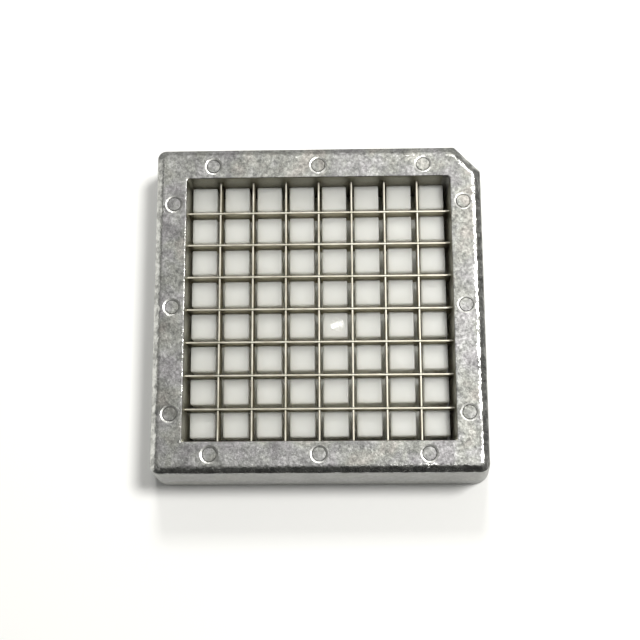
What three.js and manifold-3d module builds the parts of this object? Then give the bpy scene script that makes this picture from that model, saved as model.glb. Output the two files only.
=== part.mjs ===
// Dicing head of a lever-press vegetable dicer: a die-cast blade frame that holds two crossed
// rows of knives, resting over the pegged pusher block that works through its cells.
//
// Millimetres, +Z up. The origin is at the centre of the head, on the surface it stands on.
// The head stands with its food side down: the knives' sharp edges face the pusher block
// and their blunt spines face up, the side where the dice come out.

import * as THREE from 'three';
import * as BufferGeometryUtils from 'three/addons/utils/BufferGeometryUtils.js';
import Module from 'manifold-3d';

// ---------------------------------------------------------------- driving dimensions

// Cell grid
const CELLS = 8; // cells along each side
const CELL = 9.7; // clear width of a cell, for dice of nominally 3/8 in
const KNIFE_THICKNESS = 0.6;
const PITCH = CELL + KNIFE_THICKNESS;
const OPENING = CELLS * CELL + (CELLS - 1) * KNIFE_THICKNESS;

// Blade frame casting
const FRAME_HEIGHT = 24;
const RAIL_WIDTH = 7.9; // flat top face of each rail
const BEVEL_OUT = 1.75; // bevel round the top face, outwards
const BEVEL_DOWN = 1.3;
const SIDE_FLARE = 2.45; // draft of the outer sides, top to bottom
const CUT_CORNER = 7; // legs of the one cut corner, which shows the right way round
const TOP_CORNER_RADIUS = 1;
const BEVEL_CORNER_RADIUS = 2.7;
const BASE_CORNER_RADIUS = 4.6;
const OPENING_CORNER_RADIUS = 1;
const ARC_STEPS = 6; // in each rounded corner
const ROUND_SEGMENTS = 32; // in each round feature

// Ejector-pin marks on the top face
const MARK_DIAMETER = 5;
const MARK_DEPTH = 0.3;
const MARK_SPACING = 32.7;

// Relief cores in the frame's underside
const CORE_WIDTH = 3.5;
const CORE_LENGTH = 34;
const CORE_DEPTH = 16;
const CORE_MIDDLE = 48; // from the head's centre to the middle of the core
const CORE_RIB = 4; // rib between the two cores of a rail

// Knives
const SPINE_BELOW_TOP = 4.8;
const KNIFE_DEPTH = 9;
const EDGE_GRIND = 2.5; // height of the ground bevel
const EDGE_LAND = 0.12; // width left at the cutting edge
const TANG = 2.8; // length of each knife end inside the frame wall
const SEAT_GAP = 0.3; // round a knife end in its slot
const NOTCH_GAP = 0.1; // each side of a crossing knife in its notch

// Pusher block
const PEG = 7.8; // side of a square peg
const PEG_PITCH = 10.26; // a little under the knives' pitch, as the block shrank in its mould
const PEG_TOP = 15.8;
const PEG_EDGE = 0.35; // bevel round a peg's top
const PLATE_THICKNESS = 4;
const PUSHER_OFFSET = [-0.2, 0.65]; // where the block lies inside its 1.1 mm of play
const PUSHER_TURN = 0.2; // degrees, how far it lies askew in that play
const GATE_PEG = [4, 3]; // column and row of the peg with the moulding gate, from the near left
const GATE_DIAMETER = 4.4;
const GATE_HEIGHT = 0.25;
const GATE_OFFSET = [0.5, 0]; // from the middle of its peg

// Threaded inserts in the back of the pusher block
const INSERT_DIAMETER = 5.2;
const INSERT_LENGTH = 7;
const INSERT_BORE = 3.3;
const INSERT_FLANGE_DIAMETER = 6.4;
const INSERT_FLANGE = 0.6;
const INSERT_CELLS = [1, 6]; // columns and rows of the pegs that hold an insert

// ---------------------------------------------------------------- derived places

const OPENING_HALF = OPENING / 2;
const TOP_HALF = OPENING_HALF + RAIL_WIDTH;
const SHOULDER_HALF = TOP_HALF + BEVEL_OUT;
const BASE_HALF = SHOULDER_HALF + SIDE_FLARE;
const SPINE_Z = FRAME_HEIGHT - SPINE_BELOW_TOP;
const EDGE_Z = SPINE_Z - KNIFE_DEPTH;
const KNIFE_MIDDLE_Z = (SPINE_Z + EDGE_Z) / 2;
const KNIFE_LENGTH = OPENING + 2 * TANG;
const OVERRUN = 2; // how far a cutting tool runs past the face it opens

// ---------------------------------------------------------------- solids

const wasm = await Module();
wasm.setup();

function solid(geometry) {
  const bare = geometry.clone();
  bare.deleteAttribute('normal');
  bare.deleteAttribute('uv');
  const merged = BufferGeometryUtils.mergeVertices(bare, 1e-4);
  const mesh = new wasm.Mesh({
    numProp: 3,
    vertProperties: Float32Array.from(merged.attributes.position.array),
    triVerts: Uint32Array.from(merged.index.array),
  });
  return new wasm.Manifold(mesh);
}

function geometryOf(manifold) {
  const mesh = manifold.getMesh();
  const geometry = new THREE.BufferGeometry();
  geometry.setAttribute('position', new THREE.BufferAttribute(mesh.vertProperties, 3));
  geometry.setIndex(new THREE.BufferAttribute(mesh.triVerts, 1));
  geometry.computeVertexNormals();
  return geometry;
}

function cut(body, tools) {
  return tools.reduce((result, tool) => result.subtract(tool), body);
}

function join(bodies) {
  return bodies.reduce((result, body) => result.add(body));
}

// A box from its middle and its size, as three-number lists.
function box(middle, size) {
  return solid(new THREE.BoxGeometry(...size).translate(...middle));
}

// An upright cylinder from its foot.
function cylinder(x, y, z, diameter, height) {
  const radius = diameter / 2;
  const geometry = new THREE.CylinderGeometry(radius, radius, height, ROUND_SEGMENTS);
  return solid(geometry.rotateX(Math.PI / 2).translate(x, y, z + height / 2));
}

// A square outline with sharp corners.
function squareOutline(half) {
  const signs = [[1, 1], [-1, 1], [-1, -1], [1, -1]];
  return signs.map(([x, y]) => new THREE.Vector2(x * half, y * half));
}

// A square outline with rounded corners. With cutLeg given, the corner at +X +Y is cut straight.
function roundedOutline(half, radius, cutLeg = 0) {
  const shape = new THREE.Shape();
  squareOutline(half - radius).forEach(({ x, y }, quarter) => {
    const start = quarter * Math.PI / 2;
    if (quarter === 0 && cutLeg > 0) {
      shape.moveTo(half, half - cutLeg);
      shape.lineTo(half - cutLeg, half);
    } else {
      shape.absarc(x, y, radius, start, start + Math.PI / 2, false);
    }
  });
  return shape.extractPoints(ARC_STEPS).shape;
}

// A closed solid through outlines of equal point counts, lowest level first.
function loft(levels) {
  const count = levels[0].outline.length;
  const positions = levels.flatMap(({ outline, z }) => outline.flatMap((point) => [point.x, point.y, z]));
  const faces = THREE.ShapeUtils.triangulateShape(levels[0].outline, []);
  const top = (levels.length - 1) * count;
  const index = [];
  for (const [a, b, c] of faces) {
    index.push(c, b, a, top + a, top + b, top + c);
  }
  for (let level = 0; level < levels.length - 1; level += 1) {
    for (let i = 0; i < count; i += 1) {
      const low = level * count + i;
      const lowNext = level * count + (i + 1) % count;
      index.push(low, lowNext, lowNext + count, low, lowNext + count, low + count);
    }
  }
  const geometry = new THREE.BufferGeometry();
  geometry.setAttribute('position', new THREE.Float32BufferAttribute(positions, 3));
  geometry.setIndex(index);
  return solid(geometry);
}

// Evenly spaced places along one side, symmetric about the middle.
function gridPlaces(count, pitch) {
  return Array.from({ length: count }, (_, i) => (i - (count - 1) / 2) * pitch);
}

const knifePlaces = gridPlaces(CELLS - 1, PITCH);
const pegPlaces = gridPlaces(CELLS, PEG_PITCH);

// ---------------------------------------------------------------- blade frame

function frameBody() {
  const cutLeg = (grow) => CUT_CORNER + grow * (2 - Math.SQRT2);
  return loft([
    { z: 0, outline: roundedOutline(BASE_HALF, BASE_CORNER_RADIUS, cutLeg(BEVEL_OUT + SIDE_FLARE)) },
    {
      z: FRAME_HEIGHT - BEVEL_DOWN,
      outline: roundedOutline(SHOULDER_HALF, BEVEL_CORNER_RADIUS, cutLeg(BEVEL_OUT)),
    },
    { z: FRAME_HEIGHT, outline: roundedOutline(TOP_HALF, TOP_CORNER_RADIUS, CUT_CORNER) },
  ]);
}

function openingTool() {
  const outline = roundedOutline(OPENING_HALF, OPENING_CORNER_RADIUS);
  return loft([{ z: -OVERRUN, outline }, { z: FRAME_HEIGHT + OVERRUN, outline }]);
}

// Slots for the knife ends, open to the underside and closed over the spines.
function slotTools() {
  const low = -OVERRUN;
  const high = SPINE_Z + SEAT_GAP;
  const reach = OPENING + 2 * (TANG + SEAT_GAP);
  const width = KNIFE_THICKNESS + 2 * SEAT_GAP;
  const middle = (low + high) / 2;
  return knifePlaces.flatMap((place) => [
    box([0, place, middle], [reach, width, high - low]),
    box([place, 0, middle], [width, reach, high - low]),
  ]);
}

function markTools() {
  const middle = (OPENING_HALF + TOP_HALF) / 2;
  const spots = [-MARK_SPACING, 0, MARK_SPACING].flatMap((along) => [
    [along, middle], [along, -middle], [middle, along], [-middle, along],
  ]);
  const foot = FRAME_HEIGHT - MARK_DEPTH;
  return spots.map(([x, y]) => cylinder(x, y, foot, MARK_DIAMETER, MARK_DEPTH + OVERRUN));
}

// Two cores in each rail's underside, with a rib between them.
function coreTools() {
  const along = (CORE_LENGTH + CORE_RIB) / 2;
  const middle = (CORE_DEPTH - OVERRUN) / 2;
  const height = CORE_DEPTH + OVERRUN;
  return [-1, 1].flatMap((side) => [-1, 1].flatMap((end) => [
    box([end * along, side * CORE_MIDDLE, middle], [CORE_LENGTH, CORE_WIDTH, height]),
    box([side * CORE_MIDDLE, end * along, middle], [CORE_WIDTH, CORE_LENGTH, height]),
  ]));
}

function bladeFrame() {
  return cut(frameBody(), [openingTool(), ...slotTools(), ...markTools(), ...coreTools()]);
}

// ---------------------------------------------------------------- knives

// A strip along X with a blunt spine up and a ground edge down.
function knifeStrip() {
  const half = KNIFE_THICKNESS / 2;
  const land = EDGE_LAND / 2;
  const section = new THREE.Shape([
    new THREE.Vector2(-land, EDGE_Z),
    new THREE.Vector2(land, EDGE_Z),
    new THREE.Vector2(half, EDGE_Z + EDGE_GRIND),
    new THREE.Vector2(half, SPINE_Z),
    new THREE.Vector2(-half, SPINE_Z),
    new THREE.Vector2(-half, EDGE_Z + EDGE_GRIND),
  ]);
  const strip = new THREE.ExtrudeGeometry(section, { depth: KNIFE_LENGTH, bevelEnabled: false });
  strip.translate(0, 0, -KNIFE_LENGTH / 2);
  strip.rotateX(Math.PI / 2).rotateZ(Math.PI / 2);
  return solid(strip);
}

// Half-depth notches where the other row crosses, from z = low to z = high.
function notchTools(low, high) {
  const width = KNIFE_THICKNESS + 2 * NOTCH_GAP;
  const size = [width, KNIFE_THICKNESS + OVERRUN, high - low];
  return knifePlaces.map((place) => box([place, 0, (low + high) / 2], size));
}

// Knives along X run unbroken along the spine and are notched from the cutting edge.
function crossKnife() {
  return cut(knifeStrip(), notchTools(EDGE_Z - OVERRUN, KNIFE_MIDDLE_Z + NOTCH_GAP));
}

// Knives along Y are notched from the spine.
function longKnife() {
  const notched = cut(knifeStrip(), notchTools(KNIFE_MIDDLE_Z - NOTCH_GAP, SPINE_Z + OVERRUN));
  return notched.rotate([0, 0, 90]);
}

// ---------------------------------------------------------------- pusher block

function peg(x, y) {
  const low = PLATE_THICKNESS - OVERRUN;
  const full = squareOutline(PEG / 2);
  const small = squareOutline(PEG / 2 - PEG_EDGE);
  const column = loft([
    { z: low, outline: full },
    { z: PEG_TOP - PEG_EDGE, outline: full },
    { z: PEG_TOP, outline: small },
  ]);
  return column.translate([x, y, 0]);
}

function pusherBlock() {
  const plateSide = (CELLS - 1) * PEG_PITCH + PEG;
  const plate = box([0, 0, PLATE_THICKNESS / 2], [plateSide, plateSide, PLATE_THICKNESS]);
  const pegs = pegPlaces.flatMap((x) => pegPlaces.map((y) => peg(x, y)));
  const [column, row] = GATE_PEG;
  const gateX = pegPlaces[column] + GATE_OFFSET[0];
  const gateY = pegPlaces[row] + GATE_OFFSET[1];
  const gate = cylinder(gateX, gateY, PEG_TOP - PEG_EDGE, GATE_DIAMETER, GATE_HEIGHT + PEG_EDGE);
  return cut(join([plate, ...pegs, gate]), insertPlaces().flatMap(([x, y]) => insertPocket(x, y)));
}

// A blind pocket for an insert and, at its mouth, the recess for the insert's flange.
function insertPocket(x, y) {
  const clearance = 2 * SEAT_GAP;
  const mouth = OVERRUN + SEAT_GAP;
  return [
    cylinder(x, y, -OVERRUN, INSERT_FLANGE_DIAMETER + clearance, mouth + INSERT_FLANGE),
    cylinder(x, y, -OVERRUN, INSERT_DIAMETER + clearance, mouth + INSERT_LENGTH),
  ];
}

function insertPlaces() {
  const along = INSERT_CELLS.map((cell) => pegPlaces[cell]);
  return along.flatMap((x) => along.map((y) => [x, y]));
}

// A flanged brass insert, flush with the back of the block, its thread drawn as a plain bore.
function threadedInsert(x, y) {
  const shank = cylinder(x, y, 0, INSERT_DIAMETER, INSERT_LENGTH);
  const flange = cylinder(x, y, 0, INSERT_FLANGE_DIAMETER, INSERT_FLANGE);
  const bore = cylinder(x, y, -OVERRUN, INSERT_BORE, INSERT_LENGTH + 2 * OVERRUN);
  return cut(join([shank, flange]), [bore]);
}

// ---------------------------------------------------------------- assembly

const CAST_ALUMINIUM = new THREE.MeshStandardMaterial({ color: 0xa9aaa2, roughness: 0.45, metalness: 0.9 });
const KNIFE_STEEL = new THREE.MeshStandardMaterial({ color: 0xb8b0a0, roughness: 0.3, metalness: 1 });
const WHITE_PLASTIC = new THREE.MeshStandardMaterial({ color: 0xdedfda, roughness: 0.45, metalness: 0 });
const BRASS = new THREE.MeshStandardMaterial({ color: 0xb99a52, roughness: 0.35, metalness: 1 });

function part(name, manifold, material) {
  const mesh = new THREE.Mesh(geometryOf(manifold), material);
  mesh.name = name;
  return mesh;
}

const bladeSet = new THREE.Group();
bladeSet.add(part('blade_frame', bladeFrame(), CAST_ALUMINIUM));
knifePlaces.forEach((place, i) => {
  const cross = part(`cross_knife_${i + 1}`, crossKnife(), KNIFE_STEEL);
  cross.position.y = place;
  const long = part(`long_knife_${i + 1}`, longKnife(), KNIFE_STEEL);
  long.position.x = place;
  bladeSet.add(cross, long);
});

const pusher = new THREE.Group();
pusher.position.set(...PUSHER_OFFSET, 0);
pusher.rotation.z = THREE.MathUtils.degToRad(PUSHER_TURN);
pusher.add(part('pusher_block', pusherBlock(), WHITE_PLASTIC));
insertPlaces().forEach(([x, y], i) => {
  pusher.add(part(`threaded_insert_${i + 1}`, threadedInsert(x, y), BRASS));
});

const dicingHead = new THREE.Group();
dicingHead.add(pusher, bladeSet);

export default dicingHead;
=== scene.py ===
import math

import bmesh
import bpy
from mathutils import Matrix, Vector, noise


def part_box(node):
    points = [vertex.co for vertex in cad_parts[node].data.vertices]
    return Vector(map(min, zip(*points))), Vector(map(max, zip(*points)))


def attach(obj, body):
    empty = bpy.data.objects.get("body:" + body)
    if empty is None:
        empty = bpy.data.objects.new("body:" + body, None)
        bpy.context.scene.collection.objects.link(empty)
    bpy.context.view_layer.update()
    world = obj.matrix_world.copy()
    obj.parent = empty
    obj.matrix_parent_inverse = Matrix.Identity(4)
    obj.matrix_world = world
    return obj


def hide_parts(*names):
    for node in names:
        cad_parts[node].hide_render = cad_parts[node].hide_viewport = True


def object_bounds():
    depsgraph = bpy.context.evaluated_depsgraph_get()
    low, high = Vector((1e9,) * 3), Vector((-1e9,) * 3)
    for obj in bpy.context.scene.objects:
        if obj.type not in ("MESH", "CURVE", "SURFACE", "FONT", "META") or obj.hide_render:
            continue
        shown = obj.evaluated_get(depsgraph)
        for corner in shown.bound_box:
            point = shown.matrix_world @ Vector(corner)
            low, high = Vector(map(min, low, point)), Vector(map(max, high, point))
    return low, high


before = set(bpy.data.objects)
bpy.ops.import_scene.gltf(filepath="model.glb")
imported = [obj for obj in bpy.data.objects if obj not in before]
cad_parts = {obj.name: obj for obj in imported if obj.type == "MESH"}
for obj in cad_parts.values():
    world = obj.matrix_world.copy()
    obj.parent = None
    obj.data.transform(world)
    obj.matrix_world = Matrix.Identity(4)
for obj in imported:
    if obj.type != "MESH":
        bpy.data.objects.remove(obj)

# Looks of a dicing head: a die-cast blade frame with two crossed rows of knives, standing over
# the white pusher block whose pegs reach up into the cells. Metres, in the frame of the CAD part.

CAD_LOW, CAD_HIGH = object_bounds()
MM = 0.001

# ---------------------------------------------------------------- sizes read from the frame

FRAME_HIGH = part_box("blade_frame")[1]
KNIFE_LOW, KNIFE_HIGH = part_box("cross_knife_1")
NEXT_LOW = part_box("cross_knife_2")[0]
BLOCK_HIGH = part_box("pusher_block")[1]

KNIVES = sum(name.startswith("cross_knife_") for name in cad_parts)  # in each row
CELLS = KNIVES + 1  # along each side
KNIFE_THICKNESS = KNIFE_HIGH.y - KNIFE_LOW.y
PITCH = NEXT_LOW.y - KNIFE_LOW.y
OPENING_HALF = (CELLS * PITCH - KNIFE_THICKNESS) / 2
SPINE_Z = KNIFE_HIGH.z
EDGE_Z = KNIFE_LOW.z
TOP_Z = FRAME_HIGH.z
BASE_HALF = FRAME_HIGH.x


def centre_of(name):
    """Middle of a CAD node's box, seen from above."""
    low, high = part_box(name)
    return Vector(((low.x + high.x) / 2, (low.y + high.y) / 2))


# The block lies slightly turned in the grid. Its place is taken from its inserts.
INSERTS = [f"threaded_insert_{i}" for i in (1, 2, 3, 4)]
INSERT_CENTRES = [centre_of(name) for name in INSERTS]
INSERT_STEPS = 5  # pegs from one insert to the next
INSERT_ROW = INSERT_CENTRES[1] - INSERT_CENTRES[0]
PEG_PITCH = INSERT_ROW.length / INSERT_STEPS
BLOCK_TURN = -math.atan2(INSERT_ROW.x, INSERT_ROW.y)
BLOCK_CENTRE = sum(INSERT_CENTRES, Vector((0, 0))) / 4

# ---------------------------------------------------------------- sizes of the finer shapes

# Outline of the casting. A "half" is half the side of its square at one level.
BEVEL_OUT = 1.75 * MM
SIDE_FLARE = 2.45 * MM
RAIL_WIDTH = BASE_HALF - BEVEL_OUT - SIDE_FLARE - OPENING_HALF
BEVEL_DOWN = 1.3 * MM
TOP_HALF = OPENING_HALF + RAIL_WIDTH
SHOULDER_HALF = TOP_HALF + BEVEL_OUT
CUT_LEG = 7 * MM
OPENING_CORNER = 1 * MM
TOP_CORNER = 1 * MM
SHOULDER_CORNER = 2.7 * MM
BASE_CORNER = 4.6 * MM

# Roundings of the casting's section, from the foot of the well over the top to the outer foot.
WELL_FOOT_ROUND = 0.3 * MM
WELL_RIM_ROUND = 0.35 * MM
TOP_EDGE_ROUND = 2 * MM
SHOULDER_ROUND = 0.7 * MM
FOOT_ROUND = 0.8 * MM

# Points along the casting's outline.
ARC_STEPS = 4  # for each 45 degrees of a corner
SIDE_STEPS = 230
CUT_STEPS = 12

# Wear of the casting. Scales are noise cells to the millimetre.
WAVE_DEPTH = 0.05 * MM
WAVE_SCALE = 0.07
NICK_DEPTH = 0.3 * MM
NICK_PLACE = 0.2 * MM  # outside the flat top
NICK_REACH = 0.9 * MM
COARSE_NICKS = 0.8
FINE_NICKS = 1.9
NEAR_SIDE_NICKS = 1.6  # times as deep as elsewhere
WEAR_MARGIN = 0.5 * MM
FOOT_MARGIN = 0.6 * MM

# Ejector-pin marks.
MARK_DIAMETER = 5.7 * MM
MARK_SLOPE_WIDTH = 0.6 * MM
MARK_SLOPE_DEPTH = 0.13 * MM
MARK_GROOVE = 0.15 * MM
MARK_DEPTH = 0.3 * MM
MARK_FLOOR_DEPTH = 0.08 * MM
MARK_SPACING = 32.7 * MM

# Knife slots and relief cores.
SLOT_DEPTH = 3.1 * MM
SLOT_CLEARANCE = 0.06 * MM
CORE_WIDTH = 3.5 * MM
CORE_LENGTH = 34 * MM
CORE_DEPTH = 16 * MM
CORE_MIDDLE = 48 * MM
CORE_RIB = 4 * MM
OVERRUN = 2 * MM  # of a cutter past the surface it opens

# Knives.
KNIFE_STEPS = 48
SPINE_ROUND = 0.12 * MM
EDGE_GRIND = 2.5 * MM
EDGE_LAND = 0.12 * MM
NOTCH_GAP = 0.1 * MM

# Pusher block.
GATE_HEIGHT = 0.25 * MM
PEG_TOP = BLOCK_HIGH.z - GATE_HEIGHT
PEG = 7.8 * MM
PEG_CORNER = 0.35 * MM
PEG_CORNER_LEAST = 0.08 * MM
PEG_DRAFT = 0.06 * MM
PEG_ROUND = 0.3 * MM
PEG_ROOT = 0.4 * MM
ROOT_SPREAD = 0.2  # width of the root's fillet over its height
PEG_DISH = 0.05 * MM
PLATE_TOP = 4 * MM
PLATE_LEDGE = 0.1 * MM
PLATE_ROUND = 0.4 * MM
PLATE_HALF = (CELLS - 1) * PEG_PITCH / 2 + PEG / 2 + PLATE_LEDGE
SIDE_PARTS = (-1, -0.97, -0.94, -0.905, -0.5, 0, 0.5, 0.905, 0.94, 0.97)

# Insert pockets. Gaps are on the diameter.
FLANGE_POCKET_DEPTH = 0.7 * MM
FLANGE_GAP = 0.2 * MM
FLANGE_STEP = 1.2 * MM  # from the flange's diameter to the body's
BODY_GAP = 0.1 * MM
POCKET_OVERLAP = 0.1 * MM
POCKET_HEADROOM = 0.2 * MM

# Mark of the moulding gate.
GATE_DIAMETER = 4.4 * MM
GATE_PLACE = (4, 3)  # column and row of its peg
GATE_OFFSET = (0.5 * MM, 0.1 * MM)
GATE_SINK = 0.15 * MM
GATE_RINGS, GATE_SEGMENTS = 12, 48
GATE_RIM_SHARE = 0.35
TEAR_SLANT = math.radians(20)
TONGUE_NEAR, TONGUE_FAR = -1.0, 0.75  # sides of the tongue, in mm from the middle
TONGUE_SHARE, TORN_SHARE, LEAST_SHARE = 0.95, 0.35, 0.05  # of GATE_HEIGHT
SPLIT_PLACE, SPLIT_WIDTH, SPLIT_SHARE = 1.0, 0.22, 0.55
WHITENED_SHARE = 0.62


def places(count, pitch=PITCH):
    """Evenly spaced places along one side, symmetric about the middle."""
    return [(i - (count - 1) / 2) * pitch for i in range(count)]


# ---------------------------------------------------------------- mesh helpers


def new_object(name, mesh):
    piece = bpy.data.objects.new(name, mesh)
    bpy.context.scene.collection.objects.link(piece)
    return piece


def mesh_of(name, vertices, faces):
    mesh = bpy.data.meshes.new(name)
    mesh.from_pydata([tuple(v) for v in vertices], [], faces)
    mesh.validate()
    return mesh


def finish_mesh(mesh, sharp_degrees=35):
    """Makes the faces point out, and shades them smooth up to an angle."""
    work = bmesh.new()
    work.from_mesh(mesh)
    bmesh.ops.recalc_face_normals(work, faces=work.faces)
    work.to_mesh(mesh)
    work.free()
    mesh.shade_smooth()
    mesh.set_sharp_from_angle(angle=math.radians(sharp_degrees))


def paint(mesh, *materials):
    """Gives a mesh these materials and no others."""
    mesh.materials.clear()
    for material in materials:
        mesh.materials.append(material)


def ring_faces(low, high, count):
    """Quads between two closed rings of count vertices that start at the numbers low and high."""
    following = [(i + 1) % count for i in range(count)]
    return [(low + i, low + j, high + j, high + i) for i, j in enumerate(following)]


def fan_faces(ring, tip, count):
    """Triangles between a closed ring of count vertices and one vertex."""
    return [(ring + i, ring + (i + 1) % count, tip) for i in range(count)]


def quarter_turn(steps):
    """Cosine and sine at even steps from 0 to 90 degrees."""
    angles = [math.radians(90 * k / steps) for k in range(steps + 1)]
    return [(math.cos(a), math.sin(a)) for a in angles]


def add_box(work, low, high):
    """A closed box in a bmesh, from its lowest and highest corner."""
    size = [high[i] - low[i] for i in range(3)]
    made = bmesh.ops.create_cube(work, size=1)
    bmesh.ops.scale(work, vec=size, verts=made["verts"])
    middle = [(high[i] + low[i]) / 2 for i in range(3)]
    bmesh.ops.translate(work, vec=middle, verts=made["verts"])


def add_cylinder(work, x, y, low, high, diameter, segments=64):
    """A closed upright cylinder in a bmesh."""
    made = bmesh.ops.create_cone(
        work, cap_ends=True, segments=segments, depth=high - low,
        radius1=diameter / 2, radius2=diameter / 2,
    )
    bmesh.ops.translate(work, vec=(x, y, (low + high) / 2), verts=made["verts"])


def add_turned(work, x, y, profile, segments=48):
    """A closed turned body in a bmesh. profile holds (radius, z), and both its ends are on the axis."""
    rings = []
    for radius, z in profile:
        if radius == 0:
            rings.append([work.verts.new((x, y, z))] * segments)
            continue
        angles = [2 * math.pi * k / segments for k in range(segments)]
        rings.append([
            work.verts.new((x + radius * math.cos(a), y + radius * math.sin(a), z)) for a in angles
        ])
    for low, high in zip(rings, rings[1:]):
        for k in range(segments):
            j = (k + 1) % segments
            corners = [low[k], low[j], high[j], high[k]]
            work.faces.new(list(dict.fromkeys(corners)))


def cutter_of(fill):
    """An object whose closed shells are made by fill(bmesh), for carve to use up."""
    work = bmesh.new()
    fill(work)
    mesh = bpy.data.meshes.new("cutter")
    work.to_mesh(mesh)
    work.free()
    return new_object("cutter", mesh)


def carve(piece, tool, operation="DIFFERENCE"):
    """Applies a boolean of tool to piece, and deletes tool. The piece's materials are lost."""
    modifier = piece.modifiers.new("carve", "BOOLEAN")
    modifier.operation = operation
    modifier.solver = "EXACT"
    modifier.object = tool
    graph = bpy.context.evaluated_depsgraph_get()
    made = bpy.data.meshes.new_from_object(piece.evaluated_get(graph))
    made.validate()
    piece.modifiers.clear()
    old = piece.data
    piece.data = made
    made.name = piece.name
    bpy.data.meshes.remove(old)
    bpy.data.objects.remove(tool)


def rounding(previous, point, following, radius):
    """Start, end and centre of the arc that rounds the corner at point, and half the corner's angle."""
    before = (previous - point).normalized()
    after = (following - point).normalized()
    half_angle = before.angle(after) / 2
    reach = radius / math.tan(half_angle)
    centre = point + (before + after).normalized() * (radius / math.sin(half_angle))
    return point + before * reach, point + after * reach, centre, half_angle


def fillet_profile(corners, arc_steps=4):
    """Rounds the corners of a closed section. corners holds (point, radius, steps to the next)."""
    count = len(corners)
    arcs = [
        rounding(corners[i - 1][0], point, corners[(i + 1) % count][0], radius)
        for i, (point, radius, _) in enumerate(corners)
    ]
    line = []
    for i, (_, radius, straight_steps) in enumerate(corners):
        start, end, centre, _ = arcs[i]
        for k in range(arc_steps + 1):
            spoke = start.lerp(end, k / arc_steps) - centre
            line.append(centre + spoke.normalized() * radius)
        goal = arcs[(i + 1) % count][0]
        line += [end.lerp(goal, k / straight_steps) for k in range(1, straight_steps)]
    return line


# ---------------------------------------------------------------- blade frame


def value_at(place, table):
    """Value at a place on the straight lines through the (place, value) rows of table."""
    for (x0, y0), (x1, y1) in zip(table, table[1:]):
        if place <= x1:
            break
    return y0 + (y1 - y0) * min(1, max(0, (place - x0) / (x1 - x0)))


def frame_outline(half):
    """Outline of the casting at one offset: a square, its +X +Y corner cut, all corners rounded."""
    per_unit = 2 - math.sqrt(2)  # leg of a 45 degree cut, for each unit of rounding or of offset
    radius = value_at(half, [
        (OPENING_HALF, OPENING_CORNER), (TOP_HALF, TOP_CORNER),
        (SHOULDER_HALF, SHOULDER_CORNER), (BASE_HALF, BASE_CORNER),
    ])
    leg = value_at(half, [
        (OPENING_HALF, OPENING_CORNER * per_unit), (TOP_HALF, CUT_LEG),
        (BASE_HALF, CUT_LEG + (BASE_HALF - TOP_HALF) * per_unit),
    ])
    cut_radius = min(radius, OPENING_CORNER)
    corners = [
        (Vector((half, half - leg)), cut_radius, ARC_STEPS, CUT_STEPS),
        (Vector((half - leg, half)), cut_radius, ARC_STEPS, SIDE_STEPS),
        (Vector((-half, half)), radius, 2 * ARC_STEPS, SIDE_STEPS),
        (Vector((-half, -half)), radius, 2 * ARC_STEPS, SIDE_STEPS),
        (Vector((half, -half)), radius, 2 * ARC_STEPS, SIDE_STEPS),
    ]
    count = len(corners)
    arcs = []
    for i, (point, round_to, steps, _) in enumerate(corners):
        start, _, centre, half_angle = rounding(
            corners[i - 1][0], point, corners[(i + 1) % count][0], round_to,
        )
        first = start - centre
        turn = math.pi - 2 * half_angle
        angles = [math.atan2(first.y, first.x) + turn * k / steps for k in range(steps + 1)]
        arcs.append([centre + Vector((math.cos(a), math.sin(a))) * round_to for a in angles])
    points = []
    for i, arc in enumerate(arcs):
        end, goal, steps = arc[-1], arcs[(i + 1) % count][0], corners[i][3]
        points += arc + [end.lerp(goal, k / steps) for k in range(1, steps)]
    return points


def worn(point, half, z):
    """How far the casting's surface is worn in at a point: slow waves, and nicks along the bevel."""
    spot = Vector((point.x, point.y, z)) / MM
    pull = WAVE_DEPTH * (0.5 + 0.5 * noise.noise(spot * WAVE_SCALE))
    if z > TOP_Z - 2 * BEVEL_DOWN:
        near_edge = max(0, 1 - abs(half - TOP_HALF - NICK_PLACE) / NICK_REACH)
        coarse = max(0, noise.noise(spot * COARSE_NICKS) - 0.05)
        fine = max(0, noise.noise(spot * FINE_NICKS) - 0.1)
        share = NEAR_SIDE_NICKS if point.y < WEAR_MARGIN - TOP_HALF else 1
        pull += near_edge * (coarse + 0.5 * fine) * share * NICK_DEPTH
    return pull


def frame_surface():
    """Vertices and faces of the casting, before its marks, slots and cores are cut."""
    profile = fillet_profile([
        (Vector((OPENING_HALF, 0)), WELL_FOOT_ROUND, 8),
        (Vector((OPENING_HALF, TOP_Z)), WELL_RIM_ROUND, 16),
        (Vector((TOP_HALF, TOP_Z)), TOP_EDGE_ROUND, 2),
        (Vector((SHOULDER_HALF, TOP_Z - BEVEL_DOWN)), SHOULDER_ROUND, 12),
        (Vector((BASE_HALF, 0)), FOOT_ROUND, 6),
    ])
    outlines = [frame_outline(half) for half, _ in profile]
    vertices, faces = [], []
    for (half, z), outline in zip(profile, outlines):
        outer = half > TOP_HALF - WEAR_MARGIN and z > FOOT_MARGIN
        upper = z > TOP_Z - BEVEL_DOWN - WEAR_MARGIN
        for point in outline:
            pull = worn(point, half, z)
            inward = 1 - pull / half if outer else 1
            drop = pull if upper else 0
            vertices.append((point.x * inward, point.y * inward, z - drop))
    count = len(outlines[0])
    for ring in range(len(profile)):
        faces += ring_faces(ring * count, (ring + 1) % len(profile) * count, count)
    return vertices, faces


def mark_places():
    """Middles of the twelve ejector-pin marks, three on each rail."""
    middle = (OPENING_HALF + TOP_HALF) / 2
    made = []
    for along in (-MARK_SPACING, 0, MARK_SPACING):
        made += [(along, middle), (along, -middle), (middle, along), (-middle, along)]
    return made


MARKS = mark_places()


def from_mark(point):
    """Distance, seen from above, to the middle of the nearest mark."""
    return min(math.hypot(point.x - x, point.y - y) for x, y in MARKS)


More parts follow.
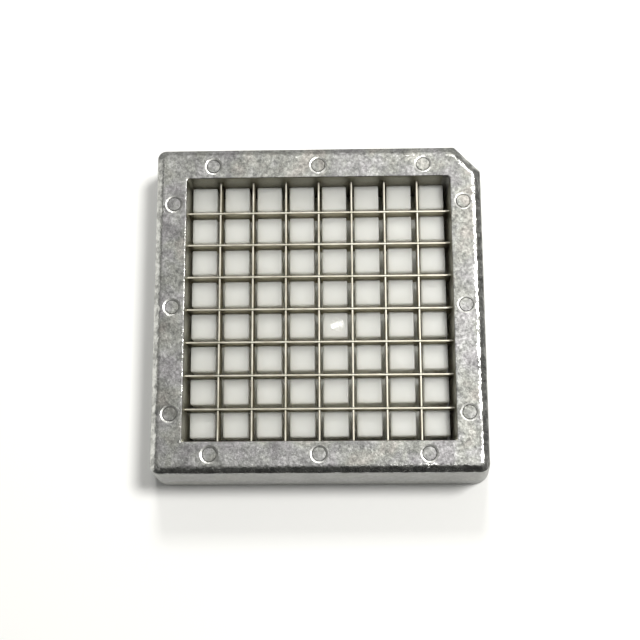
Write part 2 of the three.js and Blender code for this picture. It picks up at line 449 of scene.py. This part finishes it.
def mark_cutter(x, y):
    """One ejector-pin mark: a disc a little below the top, in a groove with a shallow outer slope."""
    rim = MARK_DIAMETER / 2
    foot = rim - MARK_SLOPE_WIDTH
    profile = [
        (0, TOP_Z - MARK_FLOOR_DEPTH), (foot - 2 * MARK_GROOVE, TOP_Z - MARK_FLOOR_DEPTH),
        (foot - MARK_GROOVE, TOP_Z - MARK_DEPTH), (foot, TOP_Z - MARK_SLOPE_DEPTH),
        (rim + MARK_SLOPE_WIDTH, TOP_Z + MARK_SLOPE_DEPTH), (0, TOP_Z + MARK_SLOPE_DEPTH),
    ]
    return cutter_of(lambda work: add_turned(work, x, y, profile))


def sharpen_marks(mesh):
    """Keeps the shallow slopes of the marks from being shaded into the flat top round them."""
    reach = MARK_DIAMETER / 2 + 0.05 * MM
    for edge in mesh.edges:
        first, second = (mesh.vertices[i].co for i in edge.vertices)
        middle = (first + second) / 2
        if middle.z > TOP_Z - 2 * MARK_DEPTH and from_mark(middle) < reach:
            edge.use_edge_sharp = True


def paint_marks(mesh):
    """Gives the slopes round the marks the mesh's second material, whose lighter colour is partly a painted
    highlight.
    """
    foot = MARK_DIAMETER / 2 - MARK_SLOPE_WIDTH
    reach = MARK_DIAMETER / 2 + 0.1 * MM
    flat = math.cos(math.radians(5))
    for face in mesh.polygons:
        tilted = face.center.z > TOP_Z - 2 * MARK_DEPTH and face.normal.z < flat
        face.material_index = int(tilted and foot < from_mark(face.center) < reach)


def fill_frame_cutter(work):
    """Knife slots and the relief cores of the underside."""
    width = KNIFE_THICKNESS / 2 + SLOT_CLEARANCE
    near, far = OPENING_HALF - OVERRUN, OPENING_HALF + SLOT_DEPTH
    high = SPINE_Z + SLOT_CLEARANCE
    for place in places(KNIVES):
        for side in (-1, 1):
            ends = sorted((side * near, side * far))
            add_box(work, (ends[0], place - width, -OVERRUN), (ends[1], place + width, high))
            add_box(work, (place - width, ends[0], -OVERRUN), (place + width, ends[1], high))
    for side in (-1, 1):
        across = (side * CORE_MIDDLE - CORE_WIDTH / 2, side * CORE_MIDDLE + CORE_WIDTH / 2)
        for end in (-1, 1):
            along = sorted((end * CORE_RIB / 2, end * (CORE_RIB / 2 + CORE_LENGTH)))
            add_box(work, (along[0], across[0], -OVERRUN), (along[1], across[1], CORE_DEPTH))
            add_box(work, (across[0], along[0], -OVERRUN), (across[1], along[1], CORE_DEPTH))


def frame_piece():
    mesh = mesh_of("frame_casting", *frame_surface())
    finish_mesh(mesh)
    piece = new_object("frame_casting", mesh)
    for x, y in MARKS:  # one at a time: in a single boolean some marks are left uncut
        carve(piece, mark_cutter(x, y))
    carve(piece, cutter_of(fill_frame_cutter))
    finish_mesh(piece.data)
    sharpen_marks(piece.data)
    paint(piece.data, cast_aluminium(), pressed_aluminium_with_painted_highlight())
    paint_marks(piece.data)
    return piece


# ---------------------------------------------------------------- knives


def knife_mesh(name, lengthwise, place, notch_low, notch_high):
    """A knife strip, notched where the other row crosses. lengthwise is 0 along X, 1 along Y."""
    half = KNIFE_THICKNESS / 2
    side = [(EDGE_LAND / 2, EDGE_Z), (half, EDGE_Z + EDGE_GRIND)] + [
        (half - SPINE_ROUND + SPINE_ROUND * c, SPINE_Z - SPINE_ROUND + SPINE_ROUND * s)
        for c, s in quarter_turn(4)
    ]
    section = side + [(-across, z) for across, z in reversed(side)]
    count = len(section)
    vertices = []
    for k in range(KNIFE_STEPS + 1):
        along = KNIFE_LOW.x + (KNIFE_HIGH.x - KNIFE_LOW.x) * k / KNIFE_STEPS
        vertices += [(along, across + place, z) for across, z in section]
    last = KNIFE_STEPS * count
    faces = [tuple(range(count)), tuple(range(last, last + count))[::-1]]
    for k in range(KNIFE_STEPS):
        faces += ring_faces(k * count, (k + 1) * count, count)
    piece = new_object(name, mesh_of(name, vertices, faces))
    finish_mesh(piece.data)

    def fill_notches(work):
        gap = half + NOTCH_GAP
        for notch in places(KNIVES):
            add_box(
                work, (notch - gap, place - half - OVERRUN / 4, notch_low),
                (notch + gap, place + half + OVERRUN / 4, notch_high),
            )

    carve(piece, cutter_of(fill_notches))
    if lengthwise:
        for vertex in piece.data.vertices:
            x, y, z = vertex.co
            vertex.co = (y, x, z)
    finish_mesh(piece.data)
    return piece


def knife_pieces():
    """All knives as (object, lengthwise), each standing in for its CAD knife."""
    middle = (SPINE_Z + EDGE_Z) / 2
    made = []
    for i, place in enumerate(places(KNIVES)):
        cross = knife_mesh(f"cross_blade_{i + 1}", 0, place, EDGE_Z - OVERRUN, middle + NOTCH_GAP)
        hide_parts(f"cross_knife_{i + 1}")
        long = knife_mesh(f"long_blade_{i + 1}", 1, place, middle - NOTCH_GAP, SPINE_Z + OVERRUN)
        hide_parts(f"long_knife_{i + 1}")
        made += [(cross, 0), (long, 1)]
    return made


# ---------------------------------------------------------------- pusher block


def unit_square():
    """Points round a square of half side 1, counter-clockwise, closer together at its corners."""
    return (
        [(1, t) for t in SIDE_PARTS] + [(-t, 1) for t in SIDE_PARTS]
        + [(-1, -t) for t in SIDE_PARTS] + [(t, -1) for t in SIDE_PARTS]
    )


def peg_ring(half, radius):
    """The points of unit_square laid round a square with rounded corners."""
    ring = []
    inner = half - radius
    past = inner + 1e-9
    for u, v in unit_square():
        x, y = u * half, v * half
        if abs(x) > past and abs(y) > past:
            angle = (min(abs(x), abs(y)) - inner) / radius * math.pi / 4
            if abs(v) > abs(u):
                angle = math.pi / 2 - angle
            x = math.copysign(inner + radius * math.cos(angle), x)
            y = math.copysign(inner + radius * math.sin(angle), y)
        ring.append((x, y))
    return ring


def peg_levels():
    """(half side, corner radius, z) of a peg's rings, from its root to near the middle of its top."""
    half = PEG / 2
    levels = [
        (half + PEG_ROOT * (1 - s) * ROOT_SPREAD, PEG_CORNER, PLATE_TOP + PEG_ROOT * (1 - c))
        for c, s in quarter_turn(3)
    ]
    for share in (0.33, 0.66):
        rise = (PEG_TOP - PLATE_TOP) * share
        levels.append((half - PEG_DRAFT * share, PEG_CORNER, PLATE_TOP + rise))
    head = half - PEG_DRAFT
    for c, s in quarter_turn(4):
        shrink = PEG_ROUND * (1 - c)
        radius = max(PEG_CORNER - shrink, PEG_CORNER_LEAST)
        levels.append((head - shrink, radius, PEG_TOP - PEG_ROUND + PEG_ROUND * s))
    flat = head - PEG_ROUND
    for share in (0.92, 0.75, 0.5, 0.25):
        dish = PEG_DISH * (1 - share ** 2)
        levels.append((flat * share, PEG_CORNER * share, PEG_TOP - dish))
    return levels


def plate_outline(cell_x, cell_y):
    """Outline of one peg's share of the plate's top."""
    reach = PEG_PITCH / 2
    left, right = max(-PLATE_HALF, cell_x - reach), min(PLATE_HALF, cell_x + reach)
    near, far = max(-PLATE_HALF, cell_y - reach), min(PLATE_HALF, cell_y + reach)
    outline = []
    for u, v in unit_square():
        x = cell_x + (u * (right - cell_x) if u > 0 else -u * (left - cell_x))
        y = cell_y + (v * (far - cell_y) if v > 0 else -v * (near - cell_y))
        outline.append((x, y, PLATE_TOP))
    return outline


def pegged_surface():
    """Vertices and faces of the pegs and the plate's top, before the block is turned into place."""
    levels = peg_levels()
    count = len(unit_square())
    vertices, faces = [], []
    for cell_x in places(CELLS, PEG_PITCH):
        for cell_y in places(CELLS, PEG_PITCH):
            start = len(vertices)
            vertices += plate_outline(cell_x, cell_y)
            for half, radius, z in levels:
                vertices += [(cell_x + x, cell_y + y, z) for x, y in peg_ring(half, radius)]
            for level in range(len(levels)):
                faces += ring_faces(start + level * count, start + (level + 1) * count, count)
            faces += fan_faces(start + len(levels) * count, len(vertices), count)
            vertices.append((cell_x, cell_y, PEG_TOP - PEG_DISH))
    return vertices, faces


def close_plate(mesh):
    """Joins the pegs' shares of the plate, and adds its sides, rounded bottom edge and bottom."""
    work = bmesh.new()
    work.from_mesh(mesh)
    bmesh.ops.remove_doubles(work, verts=work.verts, dist=0.002 * MM)
    rim = [e for e in work.edges if e.is_boundary]
    for z, inset in ((PLATE_ROUND, 0), (PLATE_ROUND * 0.3, PLATE_ROUND * 0.3), (0, PLATE_ROUND)):
        made = bmesh.ops.extrude_edge_only(work, edges=rim)["geom"]
        rim = [e for e in made if isinstance(e, bmesh.types.BMEdge) and e.is_boundary]
        for vertex in {v for e in rim for v in e.verts}:
            for axis in (0, 1):
                if abs(abs(vertex.co[axis]) - PLATE_HALF) < PLATE_ROUND * 1.5:
                    vertex.co[axis] = math.copysign(PLATE_HALF - inset, vertex.co[axis])
            vertex.co.z = z
    bmesh.ops.contextual_create(work, geom=rim)
    work.to_mesh(mesh)
    work.free()
    finish_mesh(mesh)


def fill_insert_pockets(work):
    """Pockets for the flange and the body of each insert."""
    for name in INSERTS:
        low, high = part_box(name)
        x, y = centre_of(name)
        flange = high.x - low.x
        body = flange - FLANGE_STEP + BODY_GAP
        body_foot = FLANGE_POCKET_DEPTH - POCKET_OVERLAP
        add_cylinder(work, x, y, -OVERRUN, FLANGE_POCKET_DEPTH, flange + FLANGE_GAP)
        add_cylinder(work, x, y, body_foot, high.z + POCKET_HEADROOM, body)


def torn_height(dx, dy):
    """Height of the torn plastic over the peg: a slanting tongue, with a split along its far side."""
    across = (dy * math.cos(TEAR_SLANT) - dx * math.sin(TEAR_SLANT)) / MM
    rough = noise.noise(Vector((dx, dy, 0)) / MM * 1.6 + Vector((3.1, 0.7, 2.2)))
    tongue = TONGUE_SHARE if TONGUE_NEAR < across < TONGUE_FAR else TORN_SHARE
    split = SPLIT_SHARE * math.exp(-((across - SPLIT_PLACE) / SPLIT_WIDTH) ** 2)
    return GATE_HEIGHT * min(1, max(LEAST_SHARE, tongue + 0.5 * rough - split))


def gate_middle():
    row = places(CELLS, PEG_PITCH)
    return row[GATE_PLACE[0]] + GATE_OFFSET[0], row[GATE_PLACE[1]] + GATE_OFFSET[1]


def gate_vestige():
    """The broken-off sprue: a low round stub with an uneven torn top."""
    x, y = gate_middle()
    rim = GATE_DIAMETER / 2
    foot = PEG_TOP - GATE_SINK
    angles = [2 * math.pi * k / GATE_SEGMENTS for k in range(GATE_SEGMENTS)]
    circle = [(math.cos(a), math.sin(a)) for a in angles]
    vertices = [(x, y, foot)]
    vertices += [(x + rim * c, y + rim * s, foot) for c, s in circle]
    for ring in range(GATE_RINGS):
        radius = rim * (1 - ring / GATE_RINGS)
        settle = GATE_RIM_SHARE if ring == 0 else 1
        for c, s in circle:
            rise = torn_height(radius * c, radius * s) * settle
            vertices.append((x + radius * c, y + radius * s, PEG_TOP + rise))
    vertices.append((x, y, PEG_TOP + torn_height(0, 0)))
    faces = [(0, 1 + (k + 1) % GATE_SEGMENTS, 1 + k) for k in range(GATE_SEGMENTS)]
    for ring in range(GATE_RINGS):
        low = 1 + ring * GATE_SEGMENTS
        faces += ring_faces(low, low + GATE_SEGMENTS, GATE_SEGMENTS)
    faces += fan_faces(1 + GATE_RINGS * GATE_SEGMENTS, len(vertices) - 1, GATE_SEGMENTS)
    mesh = mesh_of("gate_vestige", vertices, faces)
    finish_mesh(mesh, 20)
    return new_object("gate_vestige", mesh)


def paint_gate(mesh, middle):
    """Gives the stress-whitened parts of the gate's mark the mesh's second material."""
    for face in mesh.polygons:
        away = face.center - middle
        on_gate = away.z > 0.01 * MM and away.xy.length < GATE_DIAMETER / 2
        whitened = on_gate and torn_height(away.x, away.y) > WHITENED_SHARE * GATE_HEIGHT
        face.material_index = int(whitened)


def block_piece():
    mesh = mesh_of("pegged_block", *pegged_surface())
    close_plate(mesh)
    piece = new_object("pegged_block", mesh)
    carve(piece, gate_vestige(), "UNION")
    lay = (
        Matrix.Translation((BLOCK_CENTRE.x, BLOCK_CENTRE.y, 0))
        @ Matrix.Rotation(BLOCK_TURN, 4, "Z")
    )
    piece.data.transform(lay)
    carve(piece, cutter_of(fill_insert_pockets))
    finish_mesh(piece.data)
    paint(piece.data, white_plastic(), torn_plastic())
    paint_gate(piece.data, lay @ Vector((*gate_middle(), PEG_TOP)))
    return piece


# ---------------------------------------------------------------- materials


def grey(value):
    return (value, value, value)


class Nodes:
    """Short hand for building a material's node tree."""

    def __init__(self, name):
        self.material = bpy.data.materials.new(name)
        self.material.use_nodes = True
        self.tree = self.material.node_tree
        self.shader = self.tree.nodes["Principled BSDF"]
        coordinates = self.tree.nodes.new("ShaderNodeTexCoord")
        self.place = coordinates.outputs["Object"]

    def feed(self, socket, value):
        """Links a socket to another, or sets it to a colour or a number."""
        if isinstance(value, bpy.types.NodeSocket):
            self.tree.links.new(value, socket)
        elif isinstance(value, tuple) and socket.type == "RGBA":
            socket.default_value = (*value, 1)
        else:
            socket.default_value = value

    def set(self, **values):
        """Feeds the shader's sockets: base_color=..., roughness=..."""
        for key, value in values.items():
            self.feed(self.shader.inputs[key.replace("_", " ").title()], value)

    def stretched(self, scale):
        """Object coordinates in millimetres, times scale along each axis."""
        mapping = self.tree.nodes.new("ShaderNodeMapping")
        mapping.inputs["Scale"].default_value = [s / MM for s in scale]
        self.feed(mapping.inputs["Vector"], self.place)
        return mapping.outputs["Vector"]

    def noise(self, scale, detail=4, roughness=0.55, distortion=0, stretch=(1, 1, 1), offset=0):
        """A noise whose features are about 1 / scale millimetres wide."""
        node = self.tree.nodes.new("ShaderNodeTexNoise")
        node.noise_dimensions = "4D"
        node.inputs["W"].default_value = offset
        node.inputs["Scale"].default_value = scale
        node.inputs["Detail"].default_value = detail
        node.inputs["Roughness"].default_value = roughness
        node.inputs["Distortion"].default_value = distortion
        self.feed(node.inputs["Vector"], self.stretched(stretch))
        return node.outputs["Fac"]

    def cells(self, scale):
        node = self.tree.nodes.new("ShaderNodeTexVoronoi")
        node.inputs["Scale"].default_value = scale
        self.feed(node.inputs["Vector"], self.stretched((1, 1, 1)))
        return node.outputs["Distance"]

    def ramp(self, source, stops):
        """Maps source through (position, value or colour) stops. A value gives a grey."""
        node = self.tree.nodes.new("ShaderNodeValToRGB")
        elements = node.color_ramp.elements
        while len(elements) < len(stops):
            elements.new(0.5)
        for element, (position, colour) in zip(elements, stops):
            element.position = position
            element.color = (*(colour if isinstance(colour, tuple) else grey(colour)), 1)
        self.feed(node.inputs["Fac"], source)
        return node.outputs["Color"]

    def math(self, operation, *values):
        node = self.tree.nodes.new("ShaderNodeMath")
        node.operation = operation
        for socket, value in zip(node.inputs, values):
            self.feed(socket, value)
        return node.outputs[0]

    def inverse(self, value):
        return self.math("SUBTRACT", 1.0, value)

    def step(self, value, edge, blend):
        """0 below the edge, 1 above it, over a blend of that width."""
        node = self.tree.nodes.new("ShaderNodeMapRange")
        node.inputs["From Min"].default_value = edge - blend / 2
        node.inputs["From Max"].default_value = edge + blend / 2
        self.feed(node.inputs["Value"], value)
        return node.outputs["Result"]

    def band(self, value, low, high, blend):
        """1 from low to high, 0 outside them."""
        below_high = self.inverse(self.step(value, high, blend))
        return self.math("MULTIPLY", self.step(value, low, blend), below_high)

    def axes(self):
        split = self.tree.nodes.new("ShaderNodeSeparateXYZ")
        self.feed(split.inputs["Vector"], self.place)
        return split.outputs

    def above(self, z, blend):
        """0 below the level z, 1 above it, over a blend of that height."""
        return self.step(self.axes()["Z"], z, blend)

    def mixed(self, data_type, factor, first, second, slot, mode="MIX"):
        """A mix node. slot is the place of its data type among the node's inputs and outputs."""
        node = self.tree.nodes.new("ShaderNodeMix")
        node.data_type = data_type
        node.blend_type = mode
        self.feed(node.inputs["Factor"], factor)
        self.feed(node.inputs[2 + 2 * slot], first)
        self.feed(node.inputs[3 + 2 * slot], second)
        return node.outputs[slot]

    def mix(self, factor, first, second, mode="MIX"):
        return self.mixed("RGBA", factor, first, second, 2, mode)

    def mix_normals(self, factor, first, second):
        return self.mixed("VECTOR", factor, first, second, 1)

    def bump(self, height, distance_mm, strength=1.0, below=None):
        node = self.tree.nodes.new("ShaderNodeBump")
        node.inputs["Strength"].default_value = strength
        node.inputs["Distance"].default_value = distance_mm * MM
        self.feed(node.inputs["Height"], height)
        if below is not None:
            self.feed(node.inputs["Normal"], below)
        return node.outputs["Normal"]


def outward(m):
    """How far out a point is on the frame: the half side of the square, or of its cut corner."""
    axes = m.axes()
    square = m.math("MAXIMUM", m.math("ABSOLUTE", axes["X"]), m.math("ABSOLUTE", axes["Y"]))
    diagonal = m.math("MULTIPLY", m.math("ADD", axes["X"], axes["Y"]), math.sqrt(0.5))
    cut = TOP_HALF - (2 * TOP_HALF - CUT_LEG) * math.sqrt(0.5) - 0.1 * MM
    return m.math("MAXIMUM", square, m.math("ADD", diagonal, cut))


def worn_and_highlight_edges(m, out, speckle, chips):
    """1 where the casting is worn bright and where a highlight is painted: along its bevel, not at the far
    side, and on the left rim.
    """
    axes = m.axes()
    # The reach grows towards the right and the far side, and its ragged swing narrows at the cut corner, so
    # the bright edge colour also paints the highlight that the bevel catches there.
    to_the_right = m.math("MULTIPLY_ADD", axes["X"], 0.007, out)
    to_the_far_side = m.math("MULTIPLY_ADD", axes["Y"], 0.005, to_the_right)
    at_cut = m.step(m.math("ADD", axes["X"], axes["Y"]), 2 * TOP_HALF - CUT_LEG - 1 * MM, 1 * MM)
    swing = m.math("MULTIPLY_ADD", at_cut, -1.5 * MM, 2.2 * MM)
    ragged = m.math("ADD", m.math("SUBTRACT", speckle, 0.5), m.math("SUBTRACT", chips, 0.5))
    reach = m.math("MULTIPLY_ADD", ragged, swing, to_the_far_side)
    not_far = m.inverse(m.step(axes["Y"], TOP_HALF - 1.2 * MM, 0.6 * MM))
    bevel = m.math("MULTIPLY", m.step(reach, TOP_HALF - 0.6 * MM, 0.3 * MM), not_far)
    # The bright inner rim is painted on the left rail only: a painted highlight where that rounded edge
    # catches the light.
    rim = m.band(reach, OPENING_HALF + 0.04 * MM, OPENING_HALF + 0.26 * MM, 0.08 * MM)
    left = m.inverse(m.step(axes["X"], 0.5 * MM - OPENING_HALF, 1 * MM))
    high = m.above(TOP_Z - BEVEL_DOWN - 0.1 * MM, 0.3 * MM)
    return m.math("MULTIPLY", m.math("MAXIMUM", bevel, m.math("MULTIPLY", rim, left)), high)


def cast_aluminium():
    """Die-cast aluminium: a dull, mottled skin, bright and smooth where its edges are worn; the bright edge
    colour is partly a painted highlight, the outer sides are painted lighter for the floor's reflection, and
    the walls of the well take a flat olive colour as painted shade.
    """
    m = Nodes("cast_aluminium")
    patches = m.noise(0.16, 3, 0.55, 0.6)
    tint = m.noise(0.11, 2, 0.5, 0.4, offset=11)
    speckle = m.noise(1.1, 5, 0.72, 0.3, offset=3)
    dents = m.noise(1.7, 4, 0.62, 0.3, offset=7)
    chips = m.noise(0.55, 3, 0.6, 0.4, offset=21)
    pits = m.cells(0.8)
    out = outward(m)
    wear_and_painted_highlight = worn_and_highlight_edges(m, out, speckle, chips)
    in_well = m.inverse(m.step(out, OPENING_HALF + 0.1 * MM, 0.1 * MM))
    on_side = m.inverse(m.above(TOP_Z - BEVEL_DOWN - 0.6 * MM, 0.6 * MM))

    warm_or_cool = m.ramp(tint, [
        (0.36, (0.286, 0.278, 0.288)), (0.47, (0.286, 0.286, 0.284)),
        (0.56, (0.284, 0.288, 0.270)), (0.66, (0.298, 0.286, 0.268)),
    ])
    shade = m.ramp(patches, [(0.3, 0.54), (0.5, 0.84), (0.7, 1.08)])
    fleck = m.ramp(speckle, [(0.36, 0.50), (0.5, 0.88), (0.64, 1.36)])
    skin = m.mix(1.0, m.mix(1.0, warm_or_cool, shade, "MULTIPLY"), fleck, "MULTIPLY")
    # Painted light: the outer sides are made lighter and more even, standing in for the floor's reflection on
    # them.
    sides_painted_lighter = m.mix(0.6, m.mix(1.0, skin, (1.5, 1.5, 1.48), "MULTIPLY"), (0.44, 0.44, 0.425))
    # Painted shade: the walls of the well take their own flat olive colour, tuned to the shade deep in the
    # well.
    unworn_with_painted_light_and_shade = m.mix(in_well, m.mix(on_side, skin, sides_painted_lighter), (0.28, 0.27, 0.215))
    # Colour of the worn, polished edges; it is also a painted highlight where they catch the light.
    bright = m.ramp(chips, [(0.4, (0.34, 0.34, 0.33)), (0.6, (0.66, 0.66, 0.64))])

    metal = m.mix(in_well, m.mix(on_side, grey(0.62), grey(0.8)), grey(1.0))
    rough = m.mix(in_well, m.ramp(speckle, [(0.35, 0.54), (0.65, 0.44)]), grey(0.4))
    bumps = m.bump(dents, 0.16, 0.6, m.bump(speckle, 0.14, 0.5, m.bump(pits, 0.06, 0.3)))
    smooth = m.bump(dents, 0.1, 0.5, m.bump(chips, 0.35, 0.6))
    m.set(
        base_color=m.mix(wear_and_painted_highlight, unworn_with_painted_light_and_shade, bright),
        metallic=m.mix(wear_and_painted_highlight, metal, grey(1.0)),
        roughness=m.mix(wear_and_painted_highlight, rough, grey(0.24)),
        normal=m.mix_normals(wear_and_painted_highlight, bumps, smooth),
    )
    return m.material


def pressed_aluminium_with_painted_highlight():
    """The smoother, brighter slope that an ejector pin presses round its mark; its lighter colour is partly a
    painted highlight.
    """
    m = Nodes("pressed_aluminium_with_painted_highlight")
    grain = m.noise(1.4, 4, 0.6, offset=17)
    # Lighter than the skin: partly the pressed finish, partly a painted highlight on the slope.
    m.set(
        base_color=m.ramp(grain, [(0.38, (0.26, 0.26, 0.25)), (0.6, (0.50, 0.50, 0.485))]),
        metallic=1.0,
        roughness=m.ramp(grain, [(0.35, 0.46), (0.65, 0.34)]),
        normal=m.bump(grain, 0.08, 0.6),
    )
    return m.material


def knife_steel(lengthwise):
    """Stainless strip: a worn spine over smoother sides. lengthwise is 0 for X, 1 for Y."""
    m = Nodes(f"knife_steel_{'xy'[lengthwise]}")
    fine = (0.05, 5, 5) if lengthwise == 0 else (5, 0.05, 5)
    lines = m.noise(1.6, 4, 0.6, stretch=fine)
    cloud = m.noise(0.25, 3, 0.5, offset=5)
    sides = m.ramp(lines, [(0.3, (0.42, 0.39, 0.31)), (0.7, (0.60, 0.565, 0.47))])
    spine = m.ramp(cloud, [(0.35, (0.30, 0.285, 0.235)), (0.65, (0.46, 0.445, 0.39))])
    on_spine = m.above(SPINE_Z - 0.22 * MM, 0.12 * MM)
    m.set(
        base_color=m.mix(on_spine, sides, spine),
        metallic=1.0,
        roughness=m.mix(on_spine, grey(0.28), m.ramp(cloud, [(0.3, 0.44), (0.7, 0.54)])),
        specular_tint=(0.55, 0.52, 0.44),
        normal=m.bump(lines, 0.02, 0.5),
    )
    return m.material


def white_plastic():
    """Natural white moulded plastic, satin, lets light in a long way."""
    m = Nodes("white_plastic")
    cloud = m.noise(0.12, 3, 0.5)
    skin = m.noise(2.5, 4, 0.6, offset=2)
    m.set(
        base_color=m.ramp(cloud, [(0.35, (0.945, 0.935, 0.83)), (0.65, (0.955, 0.945, 0.85))]),
        roughness=m.ramp(skin, [(0.35, 0.36), (0.65, 0.48)]),
        subsurface_weight=1.0,
        subsurface_radius=(17 * MM, 16.5 * MM, 16.5 * MM),
        subsurface_scale=1.0,
        normal=m.bump(skin, 0.02, 0.3),
    )
    return m.material


def torn_plastic():
    """The same plastic where it broke: whitened and rough."""
    m = Nodes("torn_plastic")
    frost = m.noise(2.2, 4, 0.65, offset=9)
    m.set(
        base_color=m.ramp(frost, [(0.38, (0.72, 0.72, 0.70)), (0.58, (0.90, 0.90, 0.89))]),
        roughness=m.ramp(frost, [(0.35, 0.5), (0.65, 0.3)]),
        normal=m.bump(frost, 0.1, 0.6),
    )
    return m.material


def brass():
    m = Nodes("turned_brass")
    lines = m.noise(1.2, 3, 0.5, stretch=(0.3, 0.3, 6))
    m.set(
        base_color=m.ramp(lines, [(0.3, (0.60, 0.43, 0.17)), (0.7, (0.78, 0.60, 0.29))]),
        metallic=1.0,
        roughness=m.ramp(lines, [(0.3, 0.25), (0.7, 0.4)]),
        normal=m.bump(lines, 0.02, 0.4),
    )
    return m.material


def pale_floor():
    m = Nodes("pale_floor")
    m.set(base_color=grey(0.9), roughness=0.9)
    return m.material


# ---------------------------------------------------------------- assembly


def seat(piece, body):
    """Lets a piece ride on a body of the frame."""
    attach(piece, body)


casting = frame_piece()
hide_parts("blade_frame")
seat(casting, "blade_set")

steels = [knife_steel(0), knife_steel(1)]
for knife, lengthwise in knife_pieces():
    paint(knife.data, steels[lengthwise])
    seat(knife, "blade_set")

block = block_piece()
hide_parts("pusher_block")
seat(block, "pusher")

insert_brass = brass()
for name in INSERTS:
    paint(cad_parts[name].data, insert_brass)

# ---------------------------------------------------------------- stage

FLOOR_HALF = 1.5
FLOOR_GAP = 0.05 * MM
LIGHT_DISTANCE = 0.9
LIGHT_COLOUR = (1, 0.992, 0.955)

# (place, brightness) of the room along each axis, from its negative end at 0 to its positive at 1.
ROOM_X = [(0.0, 1.2), (0.05, 0.9), (0.12, 0.25), (0.25, 0.05), (0.5, 0.02), (1.0, 0.12)]
ROOM_Y = [(0.0, 0.0), (0.3, 0.01), (0.5, 0.04), (0.75, 0.12), (1.0, 0.40)]
ROOM_Z = [(0.0, 0.0), (0.5, 0.0), (0.8, 0.03), (1.0, 0.08)]
ROOM_BLUE = 0.95  # times as bright as its red and green

CAMERA_AZIMUTH, CAMERA_ELEVATION, CAMERA_ROLL = -7.9, 78.8, -8.28  # degrees
CAMERA_DISTANCE = 31.6 * PITCH
AIM_ASIDE, AIM_ABOVE = 0.018 * PITCH, 0.336 * PITCH
FOCAL_LENGTH = 1.648  # over the picture's width
SENSOR_WIDTH = 36


def make_floor():
    corners = [(-1, -1), (1, -1), (1, 1), (-1, 1)]
    z = CAD_LOW.z - FLOOR_GAP
    vertices = [(x * FLOOR_HALF, y * FLOOR_HALF, z) for x, y in corners]
    floor = new_object("floor", mesh_of("floor", vertices, [(0, 1, 2, 3)]))
    paint(floor.data, pale_floor())


def make_light(name, azimuth, elevation, size, watts):
    """A square softbox aimed at the head. Azimuth 0 stands at -Y, 90 at +X."""
    data = bpy.data.lights.new(name, "AREA")
    data.shape = "SQUARE"
    data.size = size
    data.energy = watts
    data.color = LIGHT_COLOUR
    light = bpy.data.objects.new(name, data)
    bpy.context.scene.collection.objects.link(light)
    a, e = math.radians(azimuth), math.radians(elevation)
    away = Vector((math.sin(a) * math.cos(e), -math.cos(a) * math.cos(e), math.sin(e)))
    light.location = away * LIGHT_DISTANCE
    light.rotation_euler = (-away).to_track_quat("-Z", "Y").to_euler()


def make_world():
    """A room that is dark on the near side, and light on the far side and to the left."""
    world = bpy.data.worlds.new("studio")
    world.use_nodes = True
    bpy.context.scene.world = world
    nodes, links = world.node_tree.nodes, world.node_tree.links
    split = nodes.new("ShaderNodeSeparateXYZ")
    links.new(nodes.new("ShaderNodeTexCoord").outputs["Generated"], split.inputs["Vector"])

    def ramp(axis, stops):
        from_end = nodes.new("ShaderNodeMath")  # -1 to 1 along the axis becomes 0 to 1
        from_end.operation = "MULTIPLY_ADD"
        from_end.inputs[1].default_value = 0.5
        from_end.inputs[2].default_value = 0.5
        links.new(split.outputs[axis], from_end.inputs[0])
        node = nodes.new("ShaderNodeValToRGB")
        elements = node.color_ramp.elements
        while len(elements) < len(stops):
            elements.new(0.5)
        for element, (position, value) in zip(elements, stops):
            element.position = position
            element.color = (value, value, value * ROOM_BLUE, 1)
        links.new(from_end.outputs[0], node.inputs["Fac"])
        return node.outputs["Color"]

    def add(first, second):
        total = nodes.new("ShaderNodeMix")
        total.data_type = "RGBA"
        total.blend_type = "ADD"
        total.inputs["Factor"].default_value = 1
        links.new(first, total.inputs[6])
        links.new(second, total.inputs[7])
        return total.outputs[2]

    light = add(add(ramp("Y", ROOM_Y), ramp("X", ROOM_X)), ramp("Z", ROOM_Z))
    links.new(light, nodes["Background"].inputs["Color"])
    nodes["Background"].inputs["Strength"].default_value = 1.0


def make_camera():
    """The camera looks down at the head from nearly above, from its near side."""
    azimuth, elevation = math.radians(CAMERA_AZIMUTH), math.radians(CAMERA_ELEVATION)
    roll = math.radians(CAMERA_ROLL)
    right = Vector((math.cos(azimuth), -math.sin(azimuth), 0))
    level = Vector((math.sin(azimuth), math.cos(azimuth), 0))
    up = level * math.sin(elevation) + Vector((0, 0, 1)) * math.cos(elevation)
    look = level * math.cos(elevation) - Vector((0, 0, 1)) * math.sin(elevation)
    target = Vector((0, 0, SPINE_Z))
    data = bpy.data.cameras.new("camera")
    data.sensor_width = SENSOR_WIDTH
    data.lens = SENSOR_WIDTH * FOCAL_LENGTH
    data.clip_start = 0.01
    camera = bpy.data.objects.new("camera", data)
    bpy.context.scene.collection.objects.link(camera)
    camera.location = target - right * AIM_ASIDE - up * AIM_ABOVE - look * CAMERA_DISTANCE
    turned_right = right * math.cos(roll) + up * math.sin(roll)
    turned_up = up * math.cos(roll) - right * math.sin(roll)
    columns = (turned_right, turned_up, -look)
    camera.rotation_euler = Matrix([[c[i] for c in columns] for i in range(3)]).to_euler()
    bpy.context.scene.camera = camera


make_floor()
make_light("key", azimuth=113, elevation=70, size=0.17, watts=7.0)
make_light("far_fill", azimuth=180, elevation=52, size=0.16, watts=2.6)
make_world()
make_camera()
bpy.context.scene.view_settings.view_transform = "Standard"
